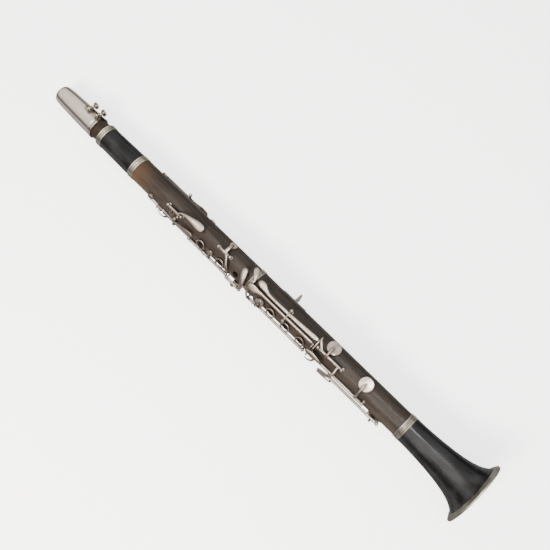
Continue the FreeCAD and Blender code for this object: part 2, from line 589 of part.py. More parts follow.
def bored_joint(name, wood, chimneys, holes, seats, fittings):
    """Wood with chimneys for rings, raised seats for cups, holes to the bore and sockets for fittings."""
    solids = [wood]
    tools = []
    for along in chimneys:
        solids.append(peg(f"{name}_chimney_{along}", along, 0, 12, "chimney_top", "chimney_radius"))
        tools.append(peg(f"{name}_chimney_hole_{along}", along, 0, 5, 20, "finger_hole_radius"))
    for along, angle, radius in holes:
        tools.append(peg(f"{name}_hole_{along}", along, angle, 5, 20, radius))
    for along, angle, level, radius in seats:
        solids.append(peg(f"{name}_seat_{along}", along, angle, 12, level, radius))
        tools.append(peg(f"{name}_seat_hole_{along}", along, angle, 5, 20, f"{radius} - 2.2"))
    tools += fittings
    finish(name, cut(f"{name}_bored", fuse(f"{name}_built", solids), tools))


def post_sockets(joint, hinges, saws):
    """Round sockets in the wood that the posts' pillars stand in."""
    sockets = []
    for name, (start, end, angle, distance) in hinges.items():
        for tag, along in (("low", start - POST_STEP), ("high", end + POST_STEP)):
            sockets.append(peg(f"{joint}_{name}_socket_{tag}", along, angle, POST_FOOT, 20, "post_radius + 0.02"))
        if name in SPRINGS:
            lean = angle + SPRINGS[name] * SPRING_LEAN
            sockets.append(peg(f"{joint}_{name}_spring_socket", start - SPRING_FOOT, lean, POST_FOOT, 20,
                               "spring_radius + 0.02"))
    for name, (along, angle, distance, half) in saws.items():
        for tag, step in (("left", -half - POST_STEP), ("right", half + POST_STEP)):
            lean = side_offset(distance, step)
            sockets.append(peg(f"{joint}_{name}_socket_{tag}", along, angle + lean, POST_FOOT, 20,
                               "post_radius + 0.02"))
    return sockets


THUMB_HOLE = 420.0
thumb_socket = peg("thumb_socket", THUMB_HOLE, 180, 5, 20, "finger_hole_radius + 1.5")
bored_joint("upper_joint", upper_wood, (374, 406), ((351, -10, "finger_hole_radius"),),
            ((506, 180, "seat_radius", "small_cup"), (492, 6, "seat_flat + 0.8", "small_cup"),
             (457, -17, "seat_flat + 0.8", "small_cup"), (390, -3, "seat_flat + 0.3", "vent_cup"),
             (375, -93, "seat_radius", "cross_cup"), (347, 52, "seat_radius", "cross_cup"),
             (478, 40, "seat_radius", "cross_cup"), (455, 86, "seat_radius", "cross_cup")),
            [thumb_socket, *post_sockets("upper", UPPER_HINGES, UPPER_SAWS)])
thumb_metal = peg("thumb_metal", THUMB_HOLE, 180, 9.0, 17.2, "finger_hole_radius + 1.5")
thumb_bore = peg("thumb_bore", THUMB_HOLE, 180, 5, 20, "finger_hole_radius - 0.4")
finish("thumb_bushing", cut("thumb_bored", thumb_metal, [thumb_bore]))

# thumb rest: curved plate on the back with a hook, and its two screws
REST = 283.0
REST_SCREWS = (REST - 12.5, REST + 12.5)
plate_shell = turned("rest_shell", [(f"{REST - 17}", "lower_radius + 0.02"), (f"{REST - 17}", "lower_radius + 1.4"),
                                    (f"{REST + 17}", "lower_radius + 1.4"),
                                    (f"{REST + 17}", "lower_radius + 0.02")])
plate_window = block("rest_window", (REST - 20, -6.5, -30), (40, 13, 30))
plate = doc.addObject("Part::Common", "rest_plate")
plate.Base = plate_shell
plate.Tool = plate_window
hook = block("rest_hook", (REST - 1.2, -6, -28), (2.4, 12, 12))
rest_holes = [peg(f"rest_hole_{along:.0f}", along, 180, 14, 20, "screw_radius + 0.02") for along in REST_SCREWS]
finish("thumb_rest", cut("rest_drilled", fuse("rest_metal", [plate, hook]), rest_holes))
rest_screws = []
rest_sockets = []
for along in REST_SCREWS:
    rest_screws.append(peg(f"rest_stem_{along:.0f}", along, 180, 9.5, 17.2, "screw_radius"))
    rest_screws.append(peg(f"rest_head_{along:.0f}", along, 180, 16.95, 17.7, "screw_radius + 1.2"))
    rest_sockets.append(peg(f"rest_socket_{along:.0f}", along, 180, 9.5, 20, "screw_radius + 0.02"))
finish("thumb_rest_screws", fuse("rest_screws_all", rest_screws))
bored_joint("lower_joint", lower_wood, (245, 268, 291), (),
            ((308, 0, "seat_flat + 0.3", "mid_cup"), (318, 74, "seat_radius", "cross_cup"),
             (211, -78, "seat_radius", "large_cup"), (159, -64, "seat_radius", "large_cup"),
             (131, 76, "seat_radius", "large_cup")),
            [*rest_sockets, *post_sockets("lower", LOWER_HINGES, LOWER_SAWS)])

# ---- check and write ------------------------------------------------------------------------------------------
doc.recompute()
for item in doc.Objects:
    if {"Invalid", "Error"} & set(item.State):
        raise RuntimeError(f"{item.Name} failed: {item.State}")
low = V(1e9, 1e9, 1e9)
high = V(-1e9, -1e9, -1e9)
for item in parts:
    if item.Shape.isNull() or not item.Shape.isValid():
        raise RuntimeError(f"{item.Label} has no valid shape")
    box = item.Shape.optimalBoundingBox()
    low = V(min(low.x, box.XMin), min(low.y, box.YMin), min(low.z, box.ZMin))
    high = V(max(high.x, box.XMax), max(high.y, box.YMax), max(high.z, box.ZMax))
    item.Shape.exportStep(f"parts/{item.Label}.step")
print(len(parts), "sub-parts; low", low, "high", high)
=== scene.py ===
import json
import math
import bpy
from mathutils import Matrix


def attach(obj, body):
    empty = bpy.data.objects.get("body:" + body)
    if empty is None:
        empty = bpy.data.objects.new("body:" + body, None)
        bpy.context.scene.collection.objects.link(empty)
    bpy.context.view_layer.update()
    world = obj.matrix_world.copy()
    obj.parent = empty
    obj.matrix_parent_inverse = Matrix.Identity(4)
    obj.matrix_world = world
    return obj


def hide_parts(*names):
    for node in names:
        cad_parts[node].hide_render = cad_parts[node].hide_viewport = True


bl_info = {
    "name": "Simple-system clarinet",
    "version": (1, 0, 0),
    "blender": (4, 5, 0),
    "location": "View3D > Sidebar > Clarinet",
    "description": "Builds the finished look of a simple-system clarinet round its packed model",
    "category": "Object",
}

import bpy
import numpy as np
from mathutils import Matrix, Vector

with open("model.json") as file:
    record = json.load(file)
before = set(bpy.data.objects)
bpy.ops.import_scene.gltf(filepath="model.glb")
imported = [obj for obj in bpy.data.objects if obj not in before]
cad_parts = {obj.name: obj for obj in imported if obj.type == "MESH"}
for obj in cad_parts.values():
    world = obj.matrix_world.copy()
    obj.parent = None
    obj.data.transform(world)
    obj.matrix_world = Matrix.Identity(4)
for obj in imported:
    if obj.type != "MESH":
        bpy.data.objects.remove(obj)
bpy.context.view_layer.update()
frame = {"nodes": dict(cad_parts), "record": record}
MM = 0.001

# ---- bench frame: along the bore from the bell mouth, angle from the front towards the right, radius ----
MOUNTS = {mount["name"]: mount for mount in frame["record"]["mounts"]}
ALONG = -np.array(MOUNTS["air_bore"]["axis"], float)
ALONG /= np.linalg.norm(ALONG)
RIM_EDGE = np.array(MOUNTS["bell_rest"]["pos_m"], float)
BORE_POINT = np.array(MOUNTS["air_bore"]["pos_m"], float)
BELL_MOUTH = BORE_POINT + ALONG * np.dot(RIM_EDGE - BORE_POINT, ALONG)
FRONT = RIM_EDGE - BELL_MOUTH
FRONT /= np.linalg.norm(FRONT)
RIGHT = np.cross(FRONT, ALONG)
BENCH = np.stack([ALONG, RIGHT, FRONT])


def place(along, angle, radius):
    """Points in the scene, metres, from bench places in mm: the bore axis plus radius outwards."""
    along, angle, radius = np.broadcast_arrays(*[np.asarray(v, float) for v in (along, angle, radius)])
    turn = np.radians(angle)
    local = np.stack([along, radius * np.sin(turn), radius * np.cos(turn)], -1)
    return BELL_MOUTH + local @ BENCH * MM


def outward(angle):
    """Unit direction away from the bore at that angle."""
    turn = math.radians(angle)
    return math.sin(turn) * RIGHT + math.cos(turn) * FRONT


def sideways(angle):
    """Unit direction round the instrument, towards growing angle."""
    turn = math.radians(angle)
    return math.cos(turn) * RIGHT - math.sin(turn) * FRONT


# ---- meshes from whole arrays ------------------------------------------------------------------
def signed_volume(points, triangles):
    """Volume under the triangles: positive when they face outwards."""
    a, b, c = (points[triangles[:, k]] for k in range(3))
    return float((np.cross(a, b) * c).sum()) / 6


def shell(rings, hollow=False):
    """Closed skin over a grid of rings (count, around, 3): points, quads, triangles. A solid ends in a
    middle point at each end; a hollow one joins its last ring to its first."""
    count, around = rings.shape[:2]
    points = rings.reshape(-1, 3)
    step = np.arange(around)
    following = (step + 1) % around
    rows = np.arange(count if hollow else count - 1)[:, None]
    nxt = (rows + 1) % count
    quads = np.stack([rows * around + step, rows * around + following, nxt * around + following,
                      nxt * around + step], -1).reshape(-1, 4)
    fans = np.zeros((0, 3), int)
    if not hollow:
        first, last = len(points), len(points) + 1
        base = (count - 1) * around
        fans = np.vstack([np.stack([np.full(around, first), following, step], -1),
                          np.stack([np.full(around, last), base + step, base + following], -1)])
        points = np.vstack([points, rings[0].mean(0), rings[-1].mean(0)])
    split = np.vstack([quads[:, :3], quads[:, [0, 2, 3]], fans])
    if signed_volume(points - points.mean(0), split) < 0:
        quads = quads[:, ::-1]
        fans = fans[:, ::-1]
    return points, quads, fans


def lathe(start, axis, profile, around=48, hollow=False):
    """Profile of (height, radius) in mm carried round an axis through start."""
    profile = np.array(profile, float)
    axis = np.asarray(axis, float)
    helper = ALONG if abs(np.dot(axis, ALONG)) < 0.9 else FRONT
    side = np.cross(axis, helper)
    side /= np.linalg.norm(side)
    other = np.cross(axis, side)
    turn = np.linspace(0, 2 * math.pi, around, endpoint=False)
    circle = np.cos(turn)[:, None] * side + np.sin(turn)[:, None] * other
    rings = start + profile[:, 0, None, None] * axis * MM + profile[:, 1, None, None] * circle * MM
    return shell(rings, hollow)


def smooth(values, count):
    """Values at even steps along a Catmull-Rom curve through the given rows."""
    rows = np.asarray(values, float)
    rows = rows.reshape(len(rows), -1)
    padded = np.vstack([2 * rows[0] - rows[1], rows, 2 * rows[-1] - rows[-2]])
    where = np.linspace(0, len(rows) - 1, count)
    index = np.minimum(where.astype(int), len(rows) - 2)
    t = (where - index)[:, None]
    a, b, c, d = (padded[index + k] for k in range(4))
    return 0.5 * (2 * b + (c - a) * t + (2 * a - 5 * b + 4 * c - d) * t ** 2 + (3 * b - a - 3 * c + d) * t ** 3)


END_SHARE = 0.08          # share of a forged bar's length that each rounded end takes
END_FLAT = 0.02           # share of its width that is left at the very end


def forged(places, widths, heights, crown=0.0, count=40, around=24, square=0.75):
    """Bar forged along a smooth line through bench places. Its section is a superellipse, widths across
    and heights outwards (half sizes, mm), bowed outwards by crown in the middle; its ends are rounded."""
    line = smooth(place(*np.array(places, float).T), count)
    angles = smooth([p[1] for p in places], count)[:, 0]
    wide = smooth(widths, count)
    high = smooth(heights, count)
    t = np.linspace(0, 1, count)
    ease = np.sqrt(np.clip(1 - np.clip(1 - np.minimum(t, 1 - t) / END_SHARE, 0, 1) ** 2, END_FLAT ** 2, 1))
    run = np.gradient(line, axis=0)
    run /= np.linalg.norm(run, axis=1)[:, None]
    up = np.sin(np.radians(angles))[:, None] * RIGHT + np.cos(np.radians(angles))[:, None] * FRONT
    side = np.cross(up, run)
    side /= np.linalg.norm(side, axis=1)[:, None]
    up = np.cross(run, side)
    turn = np.linspace(0, 2 * math.pi, around, endpoint=False)
    across = np.sign(np.cos(turn)) * np.abs(np.cos(turn)) ** square
    rise = np.sign(np.sin(turn)) * np.abs(np.sin(turn)) ** square
    wide = (wide[:, 0] * ease)[:, None] * across
    high = (high[:, 0] * ease)[:, None] * rise
    bow = crown * ease[:, None] * (1 - across ** 2)
    rings = line[:, None] + (wide[..., None] * side[:, None] + (high + bow)[..., None] * up[:, None]) * MM
    return shell(rings)


def piece(name, shells, material, body, replaced, smooth_angle=40):
    """One object from closed skins: it rides on a body and stands for CAD nodes."""
    starts = np.cumsum([0] + [len(points) for points, _, _ in shells])
    faces = []
    for start, (_, quads, fans) in zip(starts, shells):
        faces += (quads + start).tolist() + (fans + start).tolist()
    mesh = bpy.data.meshes.new(name)
    mesh.from_pydata(np.vstack([points for points, _, _ in shells]), [], faces)
    mesh.polygons.foreach_set("use_smooth", np.ones(len(mesh.polygons), bool))
    mesh.set_sharp_from_angle(angle=math.radians(smooth_angle))
    mesh.materials.append(material)
    obj = bpy.data.objects.new(name, mesh)
    bpy.context.scene.collection.objects.link(obj)
    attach(obj, body)
    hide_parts(*replaced)
    return obj


# ---- materials ------------------------------------------------------------------------------------
def linear(colour):
    """sRGB hex text to linear RGBA."""
    values = [int(colour[k:k + 2], 16) / 255 for k in (1, 3, 5)]
    return (*[v / 12.92 if v <= 0.04045 else ((v + 0.055) / 1.055) ** 2.4 for v in values], 1.0)


def rgba(colour):
    """Colour property as RGBA."""
    return (*colour, 1.0)


def add(tree, kind, settings=None, **links):
    """Add a node with its settings; links are socket names (spaces as _) to values or output sockets."""
    node = tree.nodes.new(kind)
    for name, value in (settings or {}).items():
        setattr(node, name, value)
    for name, value in links.items():
        socket = node.inputs[int(name[1:])] if name[0] == "i" and name[1:].isdigit() else \
            node.inputs[name.replace("_", " ")]
        if isinstance(value, bpy.types.NodeSocket):
            tree.links.new(value, socket)
        else:
            socket.default_value = value
    return node


def new_material(name):
    """Empty material with a Principled shader: (material, tree, shader, bench coordinates in mm)."""
    material = bpy.data.materials.new(name)
    material.use_nodes = True
    tree = material.node_tree
    shader = tree.nodes["Principled BSDF"]
    coordinates = tree.nodes.new("ShaderNodeTexCoord").outputs["Object"]
    turn = Matrix(BENCH.tolist()).to_euler()
    moved = add(tree, "ShaderNodeVectorMath", {"operation": "SUBTRACT"}, i0=coordinates,
                i1=tuple(BELL_MOUTH)).outputs[0]
    bench = add(tree, "ShaderNodeMapping", Vector=moved, Rotation=tuple(turn), Scale=(1, 1, 1)).outputs[0]
    bench_mm = add(tree, "ShaderNodeVectorMath", {"operation": "SCALE"}, i0=bench, Scale=1000.0).outputs[0]
    return material, tree, shader, bench_mm


def noise(tree, vector, size_mm, detail=4.0, roughness=0.5, stretch=(1, 1, 1)):
    """Noise whose features are about size_mm, stretched along the bench axes."""
    scale = tuple(1 / (size_mm * factor) for factor in stretch)
    mapped = add(tree, "ShaderNodeVectorMath", {"operation": "MULTIPLY"}, i0=vector, i1=scale).outputs[0]
    return add(tree, "ShaderNodeTexNoise", Vector=mapped, Scale=1.0, Detail=detail,
               Roughness=roughness).outputs["Fac"]


def ranged(tree, value, low, high, start, end):
    """Value mapped from low..high to start..end, clamped."""
    return add(tree, "ShaderNodeMapRange", {"clamp": True}, Value=value, From_Min=low, From_Max=high,
               To_Min=start, To_Max=end).outputs[0]


def blend_colours(tree, factor, first, second):
    """Mix of two colours: hex texts or colour sockets."""
    node = tree.nodes.new("ShaderNodeMix")
    node.data_type = "RGBA"
    for socket, value in ((node.inputs[0], factor), (node.inputs[6], first), (node.inputs[7], second)):
        if isinstance(value, bpy.types.NodeSocket):
            tree.links.new(value, socket)
        else:
            socket.default_value = linear(value) if isinstance(value, str) else value
    return node.outputs[2]


def bumped(tree, shader, heights):
    """Bumps chained onto the shader: (height socket, depth in mm)."""
    normal = None
    for height, depth in heights:
        node = add(tree, "ShaderNodeBump", Height=height, Distance=depth * MM, Strength=1.0)
        if normal is not None:
            tree.links.new(normal, node.inputs["Normal"])
        normal = node.outputs[0]
    tree.links.new(normal, shader.inputs["Normal"])


CORNER_SHADE_REACH = 3.2 * MM    # how far from a corner the painted shade reaches
# dark colour painted into corners and crevices as shade
PAINTED_SHADE_COLOUR = "#2b2620"


def metal(name, bright, dull, rough, spot_mm=3.0, tarnish=None, tarnish_share=0.5):
    """Worked sheet or forged metal: bright where handled, duller in cloudy patches, fine hand-polish marks, and
    painted shade that darkens its corners and crevices."""
    material, tree, shader, at = new_material(name)
    cloud = noise(tree, at, spot_mm * 2.4, 5.0, 0.6)
    patch = ranged(tree, cloud, 0.38, 0.66, 0.0, 1.0)
    colour = blend_colours(tree, patch, bright, dull)
    if tarnish:
        stain = noise(tree, at, spot_mm, 6.0, 0.7)
        mask = ranged(tree, stain, 0.68 - 0.22 * tarnish_share, 0.8 - 0.16 * tarnish_share, 0.0, 1.0)
        colour = blend_colours(tree, mask, colour, tarnish)
    # painted shade: ambient occlusion darkens the colour in corners and crevices, where shade falls
    hollow = add(tree, "ShaderNodeAmbientOcclusion", {"samples": 8}, Distance=CORNER_SHADE_REACH).outputs["AO"]
    painted_shade = ranged(tree, hollow, 0.5, 0.97, 0.95, 0.0)
    colour = blend_colours(tree, painted_shade, colour, PAINTED_SHADE_COLOUR)
    tree.links.new(colour, shader.inputs["Base Color"])
    shader.inputs["Metallic"].default_value = 1.0
    fine = noise(tree, at, 0.5, 3.0)
    tree.links.new(ranged(tree, cloud, 0.3, 0.7, rough[0], rough[1]), shader.inputs["Roughness"])
    bumped(tree, shader, [(cloud, 0.05), (fine, 0.004)])
    return material


WORN_FROM, WORN_TO = 508.0, 534.0     # along the bore, mm: where the worn wood begins and where it is full
WORN_WANDER = 26.0


def grenadilla():
    """Grenadilla, turned and oiled: near-black brown heartwood, open pores as short dark streaks along the
    bore, greyed where dry, and worn to lighter brown at the top of the upper joint."""
    material, tree, shader, at = new_material("grenadilla_oiled")
    look = bpy.context.scene.clarinet_finish
    grain = noise(tree, at, 1.1, 8.0, 0.62, (26, 1, 1))
    pores = noise(tree, at, 0.5, 3.0, 0.6, (9, 1, 1))
    dry = noise(tree, at, 22.0, 4.0, 0.55, (2.5, 1, 1))
    wood = blend_colours(tree, ranged(tree, grain, 0.36, 0.66, 0, 1), rgba(look.wood_dark),
                         rgba(look.wood_light))
    wood = blend_colours(tree, ranged(tree, dry, 0.45, 0.7, 0, 0.55), wood, "#2e2a25")
    along = add(tree, "ShaderNodeSeparateXYZ", Vector=at).outputs[0]
    wander = add(tree, "ShaderNodeMath", {"operation": "MULTIPLY_ADD"}, i0=dry, i1=WORN_WANDER,
                 i2=along).outputs[0]
    worn = ranged(tree, wander, WORN_FROM, WORN_TO, 0.0, 0.85)
    wood = blend_colours(tree, worn, wood, rgba(look.wood_worn))
    wood = blend_colours(tree, ranged(tree, pores, 0.60, 0.72, 0, 0.6), wood, "#16110e")
    tree.links.new(wood, shader.inputs["Base Color"])
    tree.links.new(ranged(tree, dry, 0.35, 0.7, 0.2, 0.34), shader.inputs["Roughness"])
    shader.inputs["Specular IOR Level"].default_value = 0.2
    bumped(tree, shader, [(grain, 0.05), (pores, -0.06)])
    return material


def ebonite(name, dark, light, rough):
    """Ebonite (hard rubber), turned and buffed: deep colour with a faint dry bloom and lathe marks."""
    material, tree, shader, at = new_material(name)
    bloom = noise(tree, at, 14.0, 2.0, 0.5, (3, 1, 1))
    marks = noise(tree, at, 0.7, 3.0, 0.5, (1, 40, 40))
    colour = blend_colours(tree, ranged(tree, bloom, 0.4, 0.72, 0, 1), dark, light)
    tree.links.new(colour, shader.inputs["Base Color"])
    tree.links.new(ranged(tree, bloom, 0.35, 0.7, rough[0], rough[1]), shader.inputs["Roughness"])
    shader.inputs["Specular IOR Level"].default_value = 0.27
    bumped(tree, shader, [(marks, 0.004), (bloom, 0.012)])
    return material


def cork():
    """Natural sheet cork: warm tan with dark lenticel flecks, greased."""
    material, tree, shader, at = new_material("tenon_cork")
    cells = add(tree, "ShaderNodeTexVoronoi", {"feature": "F1"}, Vector=at, Scale=1.4).outputs["Distance"]
    flecks = noise(tree, at, 1.2, 6.0, 0.7)
    colour = blend_colours(tree, ranged(tree, flecks, 0.5, 0.68, 0, 1), "#b98a5c", "#6a4527")
    tree.links.new(colour, shader.inputs["Base Color"])
    shader.inputs["Roughness"].default_value = 0.75
    bumped(tree, shader, [(cells, 0.08), (flecks, -0.08)])
    return material


def cane():
    """Reed cane: straw yellow with fine fibres along the reed."""
    material, tree, shader, at = new_material("reed_cane")
    fibre = noise(tree, at, 0.35, 6.0, 0.6, (40, 1, 1))
    tone = noise(tree, at, 8.0, 3.0)
    colour = blend_colours(tree, ranged(tree, fibre, 0.35, 0.65, 0, 1), "#d9bf82", "#b08e4c")
    colour = blend_colours(tree, ranged(tree, tone, 0.4, 0.7, 0, 0.5), colour, "#8f7a48")
    tree.links.new(colour, shader.inputs["Base Color"])
    shader.inputs["Roughness"].default_value = 0.5
    bumped(tree, shader, [(fibre, 0.03)])
    return material


def pad_skin():
    """Bladder-skin pad: cream skin over felt, yellowed, with a soft sheen and fine creases."""
    material, tree, shader, at = new_material("pad_bladder_skin")
    age = noise(tree, at, 4.0, 5.0, 0.6)
    crease = noise(tree, at, 0.9, 5.0, 0.7)
    colour = blend_colours(tree, ranged(tree, age, 0.38, 0.66, 0, 1), "#d8c6a0", "#a68a5c")
    tree.links.new(colour, shader.inputs["Base Color"])
    shader.inputs["Roughness"].default_value = 0.55
    shader.inputs["Sheen Weight"].default_value = 0.2
    bumped(tree, shader, [(crease, 0.05)])
    return material


def spring_steel(name, dark, light, rough):
    """Drawn steel wire, with its blue or grey oxide and fine drawing lines."""
    material, tree, shader, at = new_material(name)
    lines = noise(tree, at, 0.3, 3.0, 0.5, (30, 1, 1))
    tone = noise(tree, at, 2.5, 4.0)
    colour = blend_colours(tree, ranged(tree, tone, 0.35, 0.65, 0, 1), dark, light)
    tree.links.new(colour, shader.inputs["Base Color"])
    shader.inputs["Metallic"].default_value = 1.0
    shader.inputs["Roughness"].default_value = rough
    bumped(tree, shader, [(lines, 0.01)])
    return material


# ---- shapes of the keywork ---------------------------------------------------------------------------
WALL_TOP = 15.4           # outside radius of the joints, mm
TUBE_BORE = 0.9           # radius of the hole in tubes, barrels and collars
POINT = 0.02              # radius that closes a turned end
RING_LEVEL = 17.4         # height of the finger rings above the bore
RING_RADIUS = 5.9
RING_HALF = (0.78, 0.82)  # half height and half width of a ring's section


def hinge_tube(start, end, angle, distance):
    """Hinge tube parallel to the bore: a plain tube with a turned collar at each end."""
    radius = bpy.context.scene.clarinet_sizes.tube_radius / MM
    length = end - start
    profile = [(0, TUBE_BORE), (0, radius + 0.12), (0.12, radius + 0.25), (0.9, radius + 0.25), (1.1, radius - 0.1),
               (1.5, radius - 0.1), (length - 1.5, radius - 0.1), (length - 1.1, radius - 0.1),
               (length - 0.9, radius + 0.25), (length - 0.12, radius + 0.25), (length, radius + 0.12),
               (length, TUBE_BORE)]
    return lathe(place(start, angle, distance), ALONG, profile, 32)


def cross_barrel(along, angle, distance, half, shift=0.0):
    """Hinge barrel of a see-saw key, across the instrument, moved sideways by shift."""
    axis = sideways(angle)
    start = place(along, angle, distance) + axis * (shift - half) * MM
    length = 2 * half
    profile = [(0, TUBE_BORE), (0, 1.75), (0.15, 1.9), (0.6, 1.9), (0.8, 1.75), (length - 0.8, 1.75),
               (length - 0.6, 1.9), (length - 0.15, 1.9), (length, 1.75), (length, TUBE_BORE)]
    return lathe(start, axis, profile, 32)


def pad_cup(along, angle, pad_top, radius):
    """Pad cup: a shallow dome with a rolled lip and a skirt that hides the upper part of the pad."""
    t = np.linspace(0, 1, 14)
    crown = 0.12 + 0.02 * radius
    dome = [(0.55 + crown * (1 - u ** 2), max(u * (radius - 0.35), POINT)) for u in t[::-1]]
    profile = [(-1.0, radius - 0.4), (-1.0, radius - 0.08), (-0.9, radius), (0.25, radius), (0.48, radius - 0.1),
               *dome]
    return lathe(place(along, angle, pad_top), outward(angle), profile, 64)


def finger_ring(along):
    """Finger ring: a round ring of rounded square section round a chimney."""
    t = np.linspace(0, 2 * math.pi, 20, endpoint=False)
    height = RING_HALF[0] * np.sign(np.sin(t)) * np.abs(np.sin(t)) ** 0.7
    radius = RING_RADIUS + RING_HALF[1] * np.sign(np.cos(t)) * np.abs(np.cos(t)) ** 0.7
    return lathe(place(along, 0, RING_LEVEL), outward(0), np.stack([height, radius], -1), 56, hollow=True)


def collar(start, end, angle, distance, radius):
    """Short thick ring on a tube."""
    width = end - start
    profile = [(0, TUBE_BORE), (0, radius - 0.25), (0.25, radius), (width - 0.25, radius), (width, radius - 0.25),
               (width, TUBE_BORE)]
    return lathe(place(start, angle, distance), ALONG, profile, 32)


def ball_post(along, angle, distance):
    """Post: base flange on the wood, waisted pillar, ball with a small flat on top."""
    rise = distance - WALL_TOP
    size = bpy.context.scene.clarinet_sizes.ball_radius / MM
    turn = np.linspace(math.radians(-62), math.radians(78), 14)
    waist = max(rise - size, 0.6)
    profile = [(-1.3, 1.2), (-0.1, 1.2), (-0.05, 2.3), (0.25, 2.35), (0.5, 2.0), (0.75, 1.4),
               (0.5 * waist + 0.3, 1.05), *[(rise + size * math.sin(a), size * math.cos(a)) for a in turn]]
    return lathe(place(along, angle, WALL_TOP), outward(angle), profile, 32)


def rod_line(start, end, angle, distance):
    """Steel hinge rod with a domed, shouldered screw end."""
    length = end - start
    radius = bpy.context.scene.clarinet_sizes.rod_radius / MM
    profile = [(0, POINT), (0.05, 0.7), (0.3, radius), (length - 0.35, radius), (length - 0.1, 0.8),
               (length, POINT)]
    return lathe(place(start, angle, distance), ALONG, profile, 24)


def ferrule(start, end, inner, outer, beads):
    """Turned ferrule: beads with grooves between them, its section closed back along the inside."""
    t = np.linspace(0, 1, 12 * beads + 1)
    rise = bpy.context.scene.clarinet_sizes.bead_rise / MM
    bead = np.abs(np.sin(t * beads * math.pi)) ** 0.75
    crest = [((end - start) * u, outer - rise + rise * b) for u, b in zip(t, bead)]
    profile = [(0, inner), *crest, (end - start, inner)]
    return lathe(place(start, 0, 0), ALONG, profile, 96, hollow=True)


SHAPES = {"tube": hinge_tube, "barrel": cross_barrel, "cup": pad_cup, "ring": finger_ring, "collar": collar,
          "forged": forged}
LEVER_HINGE = (273.0, -45.6, 20.8)      # along, angle, distance

